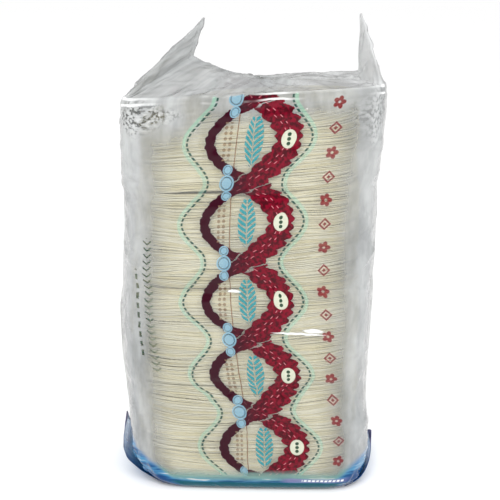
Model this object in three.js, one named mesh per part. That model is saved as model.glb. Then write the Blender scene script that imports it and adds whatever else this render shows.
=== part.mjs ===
// A clear bag of mung bean vermicelli, as one closed solid in millimetres, +Z up.
//
// Four hanks of dry noodles lie one above the other inside a soft film bag, and the pack stands on
// its flat bottom with its front towards -Y. The film is one tube. It follows the hanks up to the
// shoulder, where it folds in from the front and the back to one crimped seal over the middle of
// the top. The seal is as wide as the front plus the depth, so its two ends stick up as ears: a
// triangle of film folds in from each side of the pack, and the fold lines run from the four
// corners of the shoulder to the tips of the ears.
//
// The surface is a net of columns, which go round the tube, and rows, which go up it.

import * as THREE from 'three';

// ---- Driving dimensions ----

const HALF_WIDTH = 92; // from the middle of the pack to its left or right side
const HALF_DEPTH = 45; // from the middle of the pack to its front or back
const SHOULDER_HEIGHT = 306; // the top fold, over the middle of the pack
const SHOULDER_SLOPE = 0.07; // rise of the top fold for each millimetre to the right
const HANK_HEIGHTS = [86, 79, 71, 70]; // from the bottom up, 306 in all
const HANK_PINCH = 1.5; // how far the film draws in where two hanks meet
const CORNER_RADIUS = 22; // upright edges of the pack
const CRISP_EDGE = { power: 0.4, drop: 90 }; // they sharpen towards the fold of the shoulder
const FRONT_CROWN = 3; // how far the middle of the front stands out past its edges

// The bottom edge is rounded: far in at the lower left, where the noodles have slumped, less at
// the lower right, and a little at the front and the back.
const BOTTOM_LEFT = { inset: 34, rise: 30 };
const BOTTOM_RIGHT = { inset: 12, rise: 16 };
const BOTTOM_FRONT = { inset: 4, rise: 8 };

// The left side swells above the slumped corner and the right side near the foot. The middle of
// the left side tucks in under the left ear.
const LEFT_BELLY = { out: 3.3, height: 128, reach: 60 };
const RIGHT_BELLY = { out: 4, height: 25, reach: 38 };
const LEFT_TUCK = { inset: 14, drop: 60, power: 1.3 };

// The film leaves the pack's side smoothly below the shoulder.
const SHOULDER_ROUND = { inset: 1.5, rise: 5 };

// The seal, in the upright plane through the middle of the pack. It sags between the two ears.
const LEFT_EAR_TIP = new THREE.Vector3(-33, 0, 355);
const RIGHT_EAR_TIP = new THREE.Vector3(75, 0, 360);
const SEAL_LEFT = -42; // foot of the left ear
const SEAL_RIGHT = 75; // foot of the right ear
const SEAL_LOWEST = 18; // where the sagging part meets the level part
const SEAL_HEIGHT = 311; // level part, right of SEAL_LOWEST
const SEAL_RISE = 15; // how much higher the foot of the left ear is

// ---- Net ----

const SIDE_COLUMNS = 3; // from the middle of a side to the start of its corner
const CORNER_COLUMNS = 6; // round one upright edge
const FACE_COLUMNS = 12; // across the front between the corners
const FOLD_COLUMNS = SIDE_COLUMNS + CORNER_COLUMNS / 2; // from the middle of a side to its fold
const HALF_COLUMNS = 2 * SIDE_COLUMNS + 2 * CORNER_COLUMNS + FACE_COLUMNS;
const COLUMNS = 2 * HALF_COLUMNS;
const ROWS_PER_HANK = 10;
const BODY_ROWS = HANK_HEIGHTS.length * ROWS_PER_HANK;
const TENT_ROWS = FOLD_COLUMNS; // so that each fold runs through the corners of the net
const BOTTOM_ROW_CROWDING = 1.5; // rows of the bottom hank crowd towards the rounded edge

// How far a rounded edge has drawn in at a distance from the face it turns into.
function roundedInset(edge, distance) {
  const reach = Math.min(distance / edge.rise, 1);
  return edge.inset * (1 - Math.sqrt(1 - (1 - reach) ** 2));
}

// Height of a row below the shoulder, and how far between two hanks it is: 0 in the middle of a
// hank, 1 where two hanks meet.
function bodyRow(row) {
  const hank = Math.min(Math.floor(row / ROWS_PER_HANK), HANK_HEIGHTS.length - 1);
  let share = row / ROWS_PER_HANK - hank;
  if (hank === 0) share = share ** BOTTOM_ROW_CROWDING;
  const below = HANK_HEIGHTS.slice(0, hank).reduce((sum, height) => sum + height, 0);
  const open = (hank === 0 && share < 0.5) || (hank === HANK_HEIGHTS.length - 1 && share > 0.5);
  return {
    height: below + share * HANK_HEIGHTS[hank],
    between: open ? 0 : Math.abs(2 * share - 1) ** 5,
  };
}

// The power of an upright edge's curve at a height: 1 is a quarter circle, less is sharper.
function edgePower(height) {
  const start = SHOULDER_HEIGHT - CRISP_EDGE.drop;
  const share = THREE.MathUtils.smoothstep(height, start, SHOULDER_HEIGHT);
  return THREE.MathUtils.lerp(1, CRISP_EDGE.power, share);
}

// A point on the front half of a rounded rectangle, from the middle of the left side at column 0,
// over the front, to the middle of the right side at column HALF_COLUMNS.
function sectionPoint(column, left, right, depth, power) {
  const radius = CORNER_RADIUS;
  const alongFace = (turn) => radius * (1 - Math.cos(turn) ** power);
  const alongSide = (turn) => radius * (1 - Math.sin(turn) ** power);
  const cornerStart = SIDE_COLUMNS;
  const faceStart = cornerStart + CORNER_COLUMNS;
  const faceEnd = faceStart + FACE_COLUMNS;
  const cornerEnd = faceEnd + CORNER_COLUMNS;
  if (column <= cornerStart) {
    return [-left, -(depth - radius) * (column / SIDE_COLUMNS)];
  }
  if (column < faceStart) {
    const turn = ((column - cornerStart) / CORNER_COLUMNS) * (Math.PI / 2);
    return [-left + alongFace(turn), -depth + alongSide(turn)];
  }
  if (column <= faceEnd) {
    const share = (column - faceStart) / FACE_COLUMNS;
    return [THREE.MathUtils.lerp(-left + radius, right - radius, share), -depth];
  }
  if (column < cornerEnd) {
    const turn = ((cornerEnd - column) / CORNER_COLUMNS) * (Math.PI / 2);
    return [right - alongFace(turn), -depth + alongSide(turn)];
  }
  return [right, -(depth - radius) * ((HALF_COLUMNS - column) / SIDE_COLUMNS)];
}

// How far a belly stands out at a height: full within most of its reach, then soon nothing.
function bellyAt(belly, height) {
  return belly.out * Math.exp(-(((height - belly.height) / belly.reach) ** 4));
}

// How far the left side is tucked in, at a distance from its middle towards the front.
function leftTuck(height, distance, depth) {
  const start = SHOULDER_HEIGHT - LEFT_TUCK.drop;
  const share = THREE.MathUtils.smoothstep(height, start, SHOULDER_HEIGHT);
  return LEFT_TUCK.inset * share * (1 - distance / depth) ** LEFT_TUCK.power;
}

// A point on the front half of the tube, at a row from the bottom (0) to the shoulder.
function bodyPoint(column, row) {
  const { height, between } = bodyRow(row);
  const shoulder = roundedInset(SHOULDER_ROUND, SHOULDER_HEIGHT - height);
  const pinch = HANK_PINCH * between;
  const width = HALF_WIDTH - pinch - shoulder;
  const left = width + bellyAt(LEFT_BELLY, height) - roundedInset(BOTTOM_LEFT, height);
  const right = width + bellyAt(RIGHT_BELLY, height) - roundedInset(BOTTOM_RIGHT, height);
  const depth = HALF_DEPTH - pinch - shoulder - roundedInset(BOTTOM_FRONT, height);
  const [plainX, y] = sectionPoint(column, left, right, depth, edgePower(height));
  const x = plainX + (column < HALF_COLUMNS / 2 ? leftTuck(height, -y, depth) : 0);
  const crowned = y * (1 - (FRONT_CROWN / HALF_DEPTH) * (x / HALF_WIDTH) ** 2);
  const sloped = height * (1 + (SHOULDER_SLOPE * x) / SHOULDER_HEIGHT);
  return new THREE.Vector3(x, crowned, sloped);
}

// A point on the seal between the feet of the two ears, at a share from left (0) to right (1).
function sealPoint(share) {
  const x = THREE.MathUtils.lerp(SEAL_LEFT, SEAL_RIGHT, share);
  const sag = Math.max((SEAL_LOWEST - x) / (SEAL_LOWEST - SEAL_LEFT), 0);
  return new THREE.Vector3(x, 0, SEAL_HEIGHT + SEAL_RISE * sag ** 2);
}

// One end of the tent, as far as the column through the shoulder's corner. `share` goes from the
// shoulder (0) to the seal (1), and `inward` counts columns from the middle of the side. Outside
// the fold the film is a cone from the side of the shoulder to the tip of the ear; inside it, it
// is the flat triangle between the corner, the tip and the foot of the ear.
function earPoint(inward, share, tip, foot, shoulderAt) {
  const foldColumn = FOLD_COLUMNS * (1 - share);
  if (inward < foldColumn) {
    return shoulderAt((inward * FOLD_COLUMNS) / foldColumn).lerp(tip, share);
  }
  const corner = shoulderAt(FOLD_COLUMNS);
  const onFold = corner.clone().lerp(tip, share);
  const underFoot = corner.clone().lerp(foot, share);
  const across = share === 0 ? 0 : (inward - foldColumn) / (FOLD_COLUMNS - foldColumn);
  return onFold.lerp(underFoot, across);
}

// A point on the front half of the tent, from the shoulder (row 0) to the seal (row TENT_ROWS).
function tentPoint(column, row) {
  const share = row / TENT_ROWS;
  const fromRight = HALF_COLUMNS - column;
  if (column <= FOLD_COLUMNS) {
    const shoulderAt = (inward) => bodyPoint(inward, BODY_ROWS);
    return earPoint(column, share, LEFT_EAR_TIP, sealPoint(0), shoulderAt);
  }
  if (fromRight <= FOLD_COLUMNS) {
    const shoulderAt = (inward) => bodyPoint(HALF_COLUMNS - inward, BODY_ROWS);
    return earPoint(fromRight, share, RIGHT_EAR_TIP, sealPoint(1), shoulderAt);
  }
  const along = (column - FOLD_COLUMNS) / (HALF_COLUMNS - 2 * FOLD_COLUMNS);
  return bodyPoint(column, BODY_ROWS).lerp(sealPoint(along), share);
}

// ---- Solid ----

function bagGeometry() {
  const positions = [];
  const index = [];
  const rows = [];

  // Columns 0 to HALF_COLUMNS are the front half, and the rest mirror them as the back. On the
  // last row the back shares the seal's points with the front.
  for (let row = 0; row <= BODY_ROWS + TENT_ROWS; row += 1) {
    const ring = [];
    for (let column = 0; column < COLUMNS; column += 1) {
      const isBack = column > HALF_COLUMNS;
      const front = isBack ? COLUMNS - column : column;
      if (isBack && row === BODY_ROWS + TENT_ROWS) {
        ring.push(ring[front]);
        continue;
      }
      const point = row <= BODY_ROWS ? bodyPoint(front, row) : tentPoint(front, row - BODY_ROWS);
      ring.push(positions.length / 3);
      positions.push(point.x, isBack ? -point.y : point.y, point.z);
    }
    rows.push(ring);
  }

  // Two triangles for each cell. The diagonal follows the fold of the ear on its side.
  for (let row = 0; row < rows.length - 1; row += 1) {
    for (let column = 0; column < COLUMNS; column += 1) {
      const next = (column + 1) % COLUMNS;
      const [a, b] = [rows[row][column], rows[row][next]];
      const [c, d] = [rows[row + 1][next], rows[row + 1][column]];
      const isBack = column >= HALF_COLUMNS;
      const isLeft = isBack ? column >= 1.5 * HALF_COLUMNS : column < 0.5 * HALF_COLUMNS;
      if (isLeft === isBack) {
        index.push(a, b, c, a, c, d);
      } else {
        index.push(a, b, d, b, c, d);
      }
    }
  }

  // The flat bottom is a fan round its middle.
  const middle = positions.length / 3;
  positions.push(0, 0, 0);
  for (let column = 0; column < COLUMNS; column += 1) {
    index.push(middle, rows[0][(column + 1) % COLUMNS], rows[0][column]);
  }

  const geometry = new THREE.BufferGeometry();
  geometry.setAttribute('position', new THREE.Float32BufferAttribute(positions, 3));
  geometry.setIndex(index);
  geometry.computeVertexNormals();
  return geometry;
}

// ---- Object ----

const film = new THREE.MeshStandardMaterial({ color: 0xc9c8b6, roughness: 0.3, metalness: 0 });

const bag = new THREE.Mesh(bagGeometry(), film);
bag.name = 'vermicelli_bag';

const pack = new THREE.Group();
pack.add(bag);

export default pack;
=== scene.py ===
# %% [markdown]
# # A clear bag of mung bean vermicelli
#
# The pack is a soft clear film bag that holds four hanks of dry noodles, one above the other. The
# CAD model gives the bag as one closed solid, in metres here, with +Z up and the front towards -Y.
# Everything below is built inside that solid: first the hanks of real strands, then the film over
# them, then the finishes.

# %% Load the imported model
import math

import bpy
import numpy as np
from mathutils import Matrix, Vector
from mathutils.bvhtree import BVHTree


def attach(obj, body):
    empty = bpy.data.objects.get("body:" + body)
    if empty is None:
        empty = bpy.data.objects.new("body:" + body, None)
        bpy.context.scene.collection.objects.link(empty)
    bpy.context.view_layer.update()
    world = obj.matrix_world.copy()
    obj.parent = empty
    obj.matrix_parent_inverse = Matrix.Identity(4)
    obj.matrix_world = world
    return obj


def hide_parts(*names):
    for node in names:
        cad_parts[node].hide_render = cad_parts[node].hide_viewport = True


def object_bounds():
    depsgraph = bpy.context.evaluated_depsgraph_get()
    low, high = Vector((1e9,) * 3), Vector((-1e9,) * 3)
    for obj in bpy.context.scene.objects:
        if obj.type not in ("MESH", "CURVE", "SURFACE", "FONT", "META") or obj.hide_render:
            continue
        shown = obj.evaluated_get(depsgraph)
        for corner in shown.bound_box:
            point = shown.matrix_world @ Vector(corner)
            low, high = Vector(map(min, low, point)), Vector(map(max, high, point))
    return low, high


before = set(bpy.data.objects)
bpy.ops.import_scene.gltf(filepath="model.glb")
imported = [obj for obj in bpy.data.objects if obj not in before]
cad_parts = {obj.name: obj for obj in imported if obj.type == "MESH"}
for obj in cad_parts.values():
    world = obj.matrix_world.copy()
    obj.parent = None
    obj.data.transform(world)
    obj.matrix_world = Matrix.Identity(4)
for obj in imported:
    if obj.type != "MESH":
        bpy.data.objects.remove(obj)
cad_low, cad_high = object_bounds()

print("CAD box in millimetres", [round(1000 * side) for side in cad_high - cad_low])

# %% [markdown]
# ## Sizes
#
# The film follows the CAD solid, so its driving sizes are worked out from the solid's box or repeat
# the ones that the solid was made from. A quick test further down measures how far the film's plain
# shape lies from the solid.

# %% Sizes of the bag
MM = 0.001
HALF_WIDTH = 92 * MM  # where the sides are plain
HALF_DEPTH = cad_high.y
TIP_HEIGHT = cad_high.z

HANK_HEIGHTS = np.array([86, 79, 71, 70]) * MM  # bottom hank first
TOP_HANK = len(HANK_HEIGHTS) - 1
HANK_EDGES = np.concatenate([[0], np.cumsum(HANK_HEIGHTS)])
SHOULDER_HEIGHT = float(HANK_EDGES[-1])
SHOULDER_SLOPE = 0.07  # rise of the top fold for each metre to the right
HANK_PINCH, PINCH_POWER = 1.5 * MM, 5  # the waist where two hanks meet
CORNER_RADIUS = 22 * MM
CRISP_POWER, CRISP_DROP = 0.4, 90 * MM  # the upright edges sharpen towards the shoulder
FRONT_CROWN = 3 * MM

# A rounded edge: how far it draws in, and over what height.
BOTTOM_LEFT = (34 * MM, 30 * MM)
BOTTOM_RIGHT = (14 * MM, 24 * MM)
BOTTOM_FRONT = (4 * MM, 8 * MM)
SHOULDER_ROUND = (1.5 * MM, 5 * MM)

# A belly: how far it stands out, the height of its middle, and how far up and down it reaches.
LEFT_BELLY = (3.3 * MM, 128 * MM, 60 * MM)
RIGHT_BELLY = (4 * MM, 25 * MM, 38 * MM)
LEFT_TUCK, TUCK_DROP, TUCK_POWER = 14 * MM, 60 * MM, 1.3  # under the left ear

LEFT_EAR_TIP = np.array([-33 * MM, 0, TIP_HEIGHT - 5 * MM])
RIGHT_EAR_TIP = np.array([75 * MM, 0, TIP_HEIGHT])
SEAL_LEFT, SEAL_RIGHT, SEAL_LOWEST = -42 * MM, 75 * MM, 18 * MM
SEAL_HEIGHT = SHOULDER_HEIGHT + 5 * MM
SEAL_RISE = 15 * MM

print("shoulder at", round(SHOULDER_HEIGHT / MM), "mm, tips at", round(TIP_HEIGHT / MM), "mm")

# %% [markdown]
# ## The shape of the film
#
# On the real pack the film is one tube. A point on it is named by two numbers: how far round the
# tube it is, and how far up. Going round, the half tube runs from the middle of the left side, over
# the front, to the middle of the right side, and the back mirrors it. The bag could be pulled into
# shape by hand, but then the hanks and the flaps would have to be fitted to it. Here every piece
# asks the same functions where the bag's wall is.

# %% Sections of the bag
SIDE_FLAT = HALF_DEPTH - CORNER_RADIUS
CORNER_ARC = CORNER_RADIUS * math.pi / 2
FACE_FLAT = 2 * (HALF_WIDTH - CORNER_RADIUS)
STATION_LENGTHS = [0, SIDE_FLAT, CORNER_ARC, FACE_FLAT, CORNER_ARC, SIDE_FLAT]
STATIONS = np.cumsum(STATION_LENGTHS)  # side middle, corner, face, corner, side middle
HALF_GIRTH = float(STATIONS[-1])
FOLD = float(STATIONS[1] + CORNER_ARC / 2)  # where an upright edge's fold runs up to its ear


def bell(value, middle, reach, power=2):
    """1 at the middle, and less than half beyond the reach on both sides of it."""
    return np.exp(-(((value - middle) / reach) ** power))


def rounded_inset(edge, distance):
    """How far a rounded edge draws in, at a distance from the edge."""
    inset, rise = edge
    reach = np.clip(distance / rise, 0, 1)
    return inset * (1 - np.sqrt(1 - (1 - reach) ** 2))


def between_hanks(height):
    """0 in the middle of a hank, 1 where two hanks meet."""
    hank = np.clip(np.searchsorted(HANK_EDGES, height, side="right") - 1, 0, TOP_HANK)
    share = (height - HANK_EDGES[hank]) / HANK_HEIGHTS[hank]
    has_no_neighbour = ((hank == 0) & (share < 0.5)) | ((hank == TOP_HANK) & (share > 0.5))
    return np.where(has_no_neighbour, 0, np.abs(2 * share - 1) ** PINCH_POWER)


def smooth(share):
    """A share held between 0 and 1, with a level start and a level end."""
    share = np.clip(share, 0, 1)
    return share**2 * (3 - 2 * share)


def near_shoulder(height, drop):
    """0 at that drop below the shoulder, 1 at the shoulder, smooth between."""
    return smooth((height - SHOULDER_HEIGHT + drop) / drop)


def edge_power(height):
    """The power of an upright edge's curve: 1 is a quarter circle, less is sharper."""
    return 1 + (CRISP_POWER - 1) * near_shoulder(height, CRISP_DROP)


def belly_at(belly, height):
    """How far a belly stands out at a height."""
    out, middle_height, reach = belly
    return out * bell(height, middle_height, reach, 4)


def left_tuck(height, distance, depth):
    """How far the left side is tucked in, at a distance from its middle towards the front."""
    outwards = np.clip(1 - distance / depth, 0, 1) ** TUCK_POWER
    return LEFT_TUCK * near_shoulder(height, TUCK_DROP) * outwards


def section_point(girth, left, right, depth, power):
    """x and y on the front half of a rounded rectangle, at a girth from 0 to HALF_GIRTH."""
    radius = CORNER_RADIUS
    _, corner, face, end_corner, end_side, end = STATIONS
    spans = [girth < corner, girth < face, girth < end_corner, girth < end_side]
    turn_left = np.clip((girth - corner) / CORNER_ARC, 0, 1) * math.pi / 2
    along = np.clip((girth - face) / FACE_FLAT, 0, 1)
    turn_right = np.clip((end_side - girth) / CORNER_ARC, 0, 1) * math.pi / 2
    x = np.select(
        spans,
        [
            -left,
            -left + radius * (1 - np.cos(turn_left) ** power),
            -left + radius + along * (left + right - 2 * radius),
            right - radius * (1 - np.cos(turn_right) ** power),
        ],
        right,
    )
    y = np.select(
        spans,
        [
            -(depth - radius) * np.clip(girth / SIDE_FLAT, 0, 1),
            -depth + radius * (1 - np.sin(turn_left) ** power),
            -depth + 0 * girth,
            -depth + radius * (1 - np.sin(turn_right) ** power),
        ],
        -(depth - radius) * np.clip((end - girth) / SIDE_FLAT, 0, 1),
    )
    return x, y


def wall_point(girth, height, inside=0.0):
    """Points on the bag's wall up to the shoulder, or `inside` it by that distance."""
    front = np.where(girth > HALF_GIRTH, 2 * HALF_GIRTH - girth, girth)
    pinch = HANK_PINCH * between_hanks(height) + inside
    pinch = pinch + rounded_inset(SHOULDER_ROUND, SHOULDER_HEIGHT - height)
    width = HALF_WIDTH - pinch
    left = width + belly_at(LEFT_BELLY, height) - rounded_inset(BOTTOM_LEFT, height)
    right = width + belly_at(RIGHT_BELLY, height) - rounded_inset(BOTTOM_RIGHT, height)
    depth = HALF_DEPTH - pinch - rounded_inset(BOTTOM_FRONT, height)
    x, y = section_point(front, left, right, depth, edge_power(height))
    x = x + np.where(front < HALF_GIRTH / 2, left_tuck(height, -y, depth), 0)
    y = y * (1 - FRONT_CROWN / HALF_DEPTH * (x / HALF_WIDTH) ** 2)
    y = np.where(girth > HALF_GIRTH, -y, y)
    z = height * (1 + SHOULDER_SLOPE * x / SHOULDER_HEIGHT)
    return np.stack([x, y, z], -1)


print("film round the pack:", round(2 * HALF_GIRTH / MM), "mm")

# %% [markdown]
# Above the shoulder the film folds in to the seal. Film doesn't stretch, so it is made of ruled
# parts, each straight from one edge to the other. Over the front a part runs from the top fold to
# the seal. At each end a triangle of film folds in from the side of the pack, and the two folds
# meet in the tip of the ear.

# %% The tent and its ears
TINY = 1e-9  # keeps a division by a length that may be 0 possible


def mix(a, b, share):
    """Points on the way from a to b."""
    return a + (b - a) * share[..., None]


def seal_point(share):
    """Points along the seal, from its left end at 0 to its right end at 1. It sags on the left."""
    x = SEAL_LEFT + (SEAL_RIGHT - SEAL_LEFT) * share
    sag = np.maximum((SEAL_LOWEST - x) / (SEAL_LOWEST - SEAL_LEFT), 0)
    return np.stack([x, 0 * x, SEAL_HEIGHT + SEAL_RISE * sag**2], -1)


def tent_point(girth, share):
    """Points on the film above the shoulder: share 0 at the shoulder, 1 at the seal."""
    is_back = girth > HALF_GIRTH
    front = np.where(is_back, 2 * HALF_GIRTH - girth, girth)
    is_right = front > HALF_GIRTH / 2
    inward = np.where(is_right, HALF_GIRTH - front, front)
    top = np.full_like(front, SHOULDER_HEIGHT)

    def shoulder_at(distance):
        return wall_point(np.where(is_right, HALF_GIRTH - distance, distance), top)

    tip = np.where(is_right[..., None], RIGHT_EAR_TIP, LEFT_EAR_TIP)
    foot = seal_point(is_right.astype(float))
    corner = shoulder_at(np.full_like(front, FOLD))
    fold = FOLD * (1 - share)
    cone = mix(shoulder_at(inward * FOLD / np.maximum(fold, TINY)), tip, share)
    across = np.clip((inward - fold) / np.maximum(FOLD - fold, TINY), 0, 1)
    triangle = mix(mix(corner, tip, share), mix(corner, foot, share), across)
    along = np.clip((front - FOLD) / (HALF_GIRTH - 2 * FOLD), 0, 1)
    ruled = mix(shoulder_at(inward), seal_point(along), share)
    is_cone = (inward < fold)[..., None]
    is_triangle = (inward <= FOLD)[..., None]
    points = np.where(is_cone, cone, np.where(is_triangle, triangle, ruled))
    points[..., 1] = np.where(is_back, -points[..., 1], points[..., 1])
    return points


seal_ends = seal_point(np.array([0.0, 1.0])) / MM
print("the seal runs from", np.round(seal_ends[0]), "to", np.round(seal_ends[1]), "mm")

# %% [markdown]
# ## Camera, floor and light
#
# The pack is seen from in front and a little above. The floor is pale and wide, and the light is
# soft: an even pale sky, a lamp in front and above, a weaker one on the right, and a long thin lamp
# that draws bright lines on the film. Gloss shows a dimmer room than the one that lights the pack,
# with a bright ceiling, so that the film reads as clear and not as white.

# %% Camera
CAMERA_PITCH = math.radians(18)
CAMERA_ROLL = math.radians(1)
CAMERA_DISTANCE = 0.70
AIM_HEIGHT = 195.5 * MM
SENSOR_WIDTH = 36
FOCAL_LENGTH = 1.97 * SENSOR_WIDTH
NEAREST_SEEN = 0.01
aim = Vector((0, -HALF_DEPTH, AIM_HEIGHT))

bpy.ops.object.select_all(action="DESELECT")
backwards = Vector((0, -math.cos(CAMERA_PITCH), math.sin(CAMERA_PITCH)))
bpy.ops.object.camera_add(location=aim + CAMERA_DISTANCE * backwards)
camera = bpy.context.object
camera.name = "camera"
camera.rotation_mode = "QUATERNION"
facing = (-backwards).to_track_quat("-Z", "Y")
camera.rotation_quaternion = facing @ Matrix.Rotation(CAMERA_ROLL, 3, "Z").to_quaternion()
camera.data.sensor_width = SENSOR_WIDTH
camera.data.lens = FOCAL_LENGTH
camera.data.clip_start = NEAREST_SEEN
bpy.context.scene.camera = camera
print("lens", round(camera.data.lens), "mm")

# %% Light and floor
bpy.context.scene.view_settings.view_transform = "Standard"


def soft_lamp(name, place, side, watts):
    """A square lamp that faces the middle of the pack."""
    bpy.ops.object.light_add(type="AREA", location=place)
    lamp = bpy.context.object
    lamp.name = name
    lamp.data.shape = "SQUARE"
    lamp.data.size = side
    lamp.data.energy = watts
    towards = Vector((0, 0, SHOULDER_HEIGHT / 2)) - Vector(place)
    lamp.rotation_euler = towards.to_track_quat("-Z", "Y").to_euler()
    return lamp


SKY_LIGHT = 1.12
GLOSS_AT_HORIZON, GLOSS_OVERHEAD = 0.42, 1.0  # what gloss shows: a dim room, a bright ceiling
FLOOR_DROP = 0.4 * MM  # keeps the floor clear of the bottom of the pack
FLOOR_GREY = 0.9
soft_lamp("key_lamp", place=(-0.35, -1.45, 1.3), side=0.24, watts=7.5)
soft_lamp("fill_lamp", place=(1.1, -0.9, 0.7), side=0.2, watts=4.5)
strip_lamp = soft_lamp("strip_lamp", place=(-0.2, -0.85, 1.35), side=1.2, watts=6)
strip_lamp.data.shape = "RECTANGLE"
strip_lamp.data.size_y = 0.05

world = bpy.data.worlds.new("studio")
bpy.context.scene.world = world
world.use_nodes = True
sky_nodes, sky_links = world.node_tree.nodes, world.node_tree.links
background = sky_nodes["Background"]
background.inputs["Color"].default_value = (1, 1, 1, 1)
direction = sky_nodes.new("ShaderNodeTexCoord")
upwards = sky_nodes.new("ShaderNodeSeparateXYZ")
gloss_level = sky_nodes.new("ShaderNodeMapRange")
gloss_level.inputs["To Min"].default_value = GLOSS_AT_HORIZON
gloss_level.inputs["To Max"].default_value = GLOSS_OVERHEAD
ray = sky_nodes.new("ShaderNodeLightPath")
level = sky_nodes.new("ShaderNodeMix")
level.inputs["A"].default_value = SKY_LIGHT
sky_links.new(direction.outputs["Generated"], upwards.inputs["Vector"])
sky_links.new(upwards.outputs["Z"], gloss_level.inputs["Value"])
sky_links.new(ray.outputs["Is Glossy Ray"], level.inputs["Factor"])
sky_links.new(gloss_level.outputs["Result"], level.inputs["B"])
sky_links.new(level.outputs["Result"], background.inputs["Strength"])

bpy.ops.mesh.primitive_plane_add(size=30, location=(0, 0, -FLOOR_DROP))
floor = bpy.context.object
floor.name = "floor"
floor_paint = bpy.data.materials.new("pale_floor")
floor_paint.use_nodes = True
paint = floor_paint.node_tree.nodes["Principled BSDF"]
paint.inputs["Base Color"].default_value = (FLOOR_GREY, FLOOR_GREY, FLOOR_GREY, 1)
paint.inputs["Roughness"].default_value = 0.9
floor.data.materials.append(floor_paint)

# %% [markdown]
# ## Shader maths as Python
#
# A pattern is easier to read as a sum than as a web of wires. `Value` wraps one output of a node,
# and each operator adds the Math node that it stands for. `Shader` adds every other node, by one
# method that the shorter ones call.

# %% A small class for shader maths


class Value:
    """One number socket of a material's nodes, with Python's operators."""

    def __init__(self, shader, socket):
        self.shader = shader
        self.socket = socket

    def _math(self, operation, *others):
        return self.shader.node("ShaderNodeMath", {"operation": operation}, [self, *others])

    def __add__(self, other):
        return self._math("ADD", other)

    __radd__ = __add__

    def __mul__(self, other):
        return self._math("MULTIPLY", other)

    __rmul__ = __mul__

    def __sub__(self, other):
        return self._math("SUBTRACT", other)

    def __rsub__(self, other):
        return (self * -1) + other

    def __truediv__(self, other):
        return self._math("DIVIDE", other)

    def __pow__(self, other):
        return self._math("POWER", other)

    def __abs__(self):
        return self._math("ABSOLUTE")

    def __mod__(self, other):
        return self._math("FLOORED_MODULO", other)

    def sin(self):
        return self._math("SINE")

    def cos(self):
        return self._math("COSINE")

    def sqrt(self):
        return self._math("SQRT")

    def least(self, other):
        return self._math("MINIMUM", other)

    def most(self, other):
        return self._math("MAXIMUM", other)

    def angle_to(self, other):
        return self._math("ARCTAN2", other)

    def step(self, start, end):
        """0 before start and 1 after end, smooth between. start may be the larger one."""
        low, high, first, last = (start, end, 0, 1) if start < end else (end, start, 1, 0)
        return self.shader.node(
            "ShaderNodeMapRange",
            {"interpolation_type": "SMOOTHSTEP"},
            {"Value": self, "From Min": low, "From Max": high, "To Min": first, "To Max": last},
            "Result",
        )


class Shader:
    """A new material. `node` adds any node: its settings first, then its sockets."""

    def __init__(self, name):
        self.material = bpy.data.materials.new(name)
        self.material.use_nodes = True
        self.tree = self.material.node_tree
        self.tree.nodes.clear()

    def node(self, kind, settings, sockets, output=0):
        node = self.tree.nodes.new(kind)
        for key, value in settings.items():
            setattr(node, key, value)
        by_key = sockets if isinstance(sockets, dict) else dict(enumerate(sockets))
        for key, value in by_key.items():
            if isinstance(value, Value):
                self.tree.links.new(value.socket, node.inputs[key])
            else:
                node.inputs[key].default_value = value
        return Value(self, node.outputs[output])

    def blend(self, factor, first, second):
        """The second colour laid over the first, each a colour or a socket."""
        sockets = {0: factor, 6: first, 7: second}  # a mix of colours is fed at 6 and 7
        return self.node("ShaderNodeMix", {"data_type": "RGBA"}, sockets, 2)

    def noise(self, vector, scale, detail):
        sockets = {"Vector": vector, "Scale": scale, "Detail": detail}
        return self.node("ShaderNodeTexNoise", {}, sockets, "Fac")

    def join(self, *numbers):
        return self.node("ShaderNodeCombineXYZ", {}, numbers)

    def place(self):
        """Where a point is on its object, in metres."""
        return self.node("ShaderNodeTexCoord", {}, {}, "Object")

    def sheet(self):
        """The two numbers of a piece's UV map."""
        return self.parts(self.node("ShaderNodeUVMap", {}, {}, "UV"))[:2]

    def stored(self, name):
        """A number that is stored for each point of the mesh."""
        return self.node("ShaderNodeAttribute", {"attribute_name": name}, {}, "Fac")

    def surface(self, kind, sockets):
        return self.node("ShaderNodeBsdf" + kind, {}, sockets, "BSDF")

    def mix(self, share, first, second):
        """Two surfaces mixed: the second one has that share."""
        return self.node("ShaderNodeMixShader", {}, [share, first, second], "Shader")

    def parts(self, vector):
        split = self.node("ShaderNodeSeparateXYZ", {}, [vector]).socket.node
        return [Value(self, split.outputs[i]) for i in range(3)]

    def finish(self, surface):
        output = self.tree.nodes.new("ShaderNodeOutputMaterial")
        self.tree.links.new(surface.socket, output.inputs["Surface"])
        return self.material


def srgb(*channels):
    """A colour given as 0 to 255 screen values, as the linear numbers that a shader takes."""
    shares = [c / 255 for c in channels]
    linear = [c / 12.92 if c <= 0.04045 else ((c + 0.055) / 1.055) ** 2.4 for c in shares]
    return (*linear, 1)


# %% [markdown]
# ## The hanks
#
# A hank is one long skein of noodles, folded flat: its strands run across the front, turn round at
# the end, and run back across the back. The ends are rounder than the bag's corners, so the film
# stands off them there. Most of a hank can't be seen, so each one is a solid core with a few layers
# of real strands over it. The core starts as a cylinder, has its ends bevelled and inset, and is
# then drawn to the hank's outline.

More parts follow.
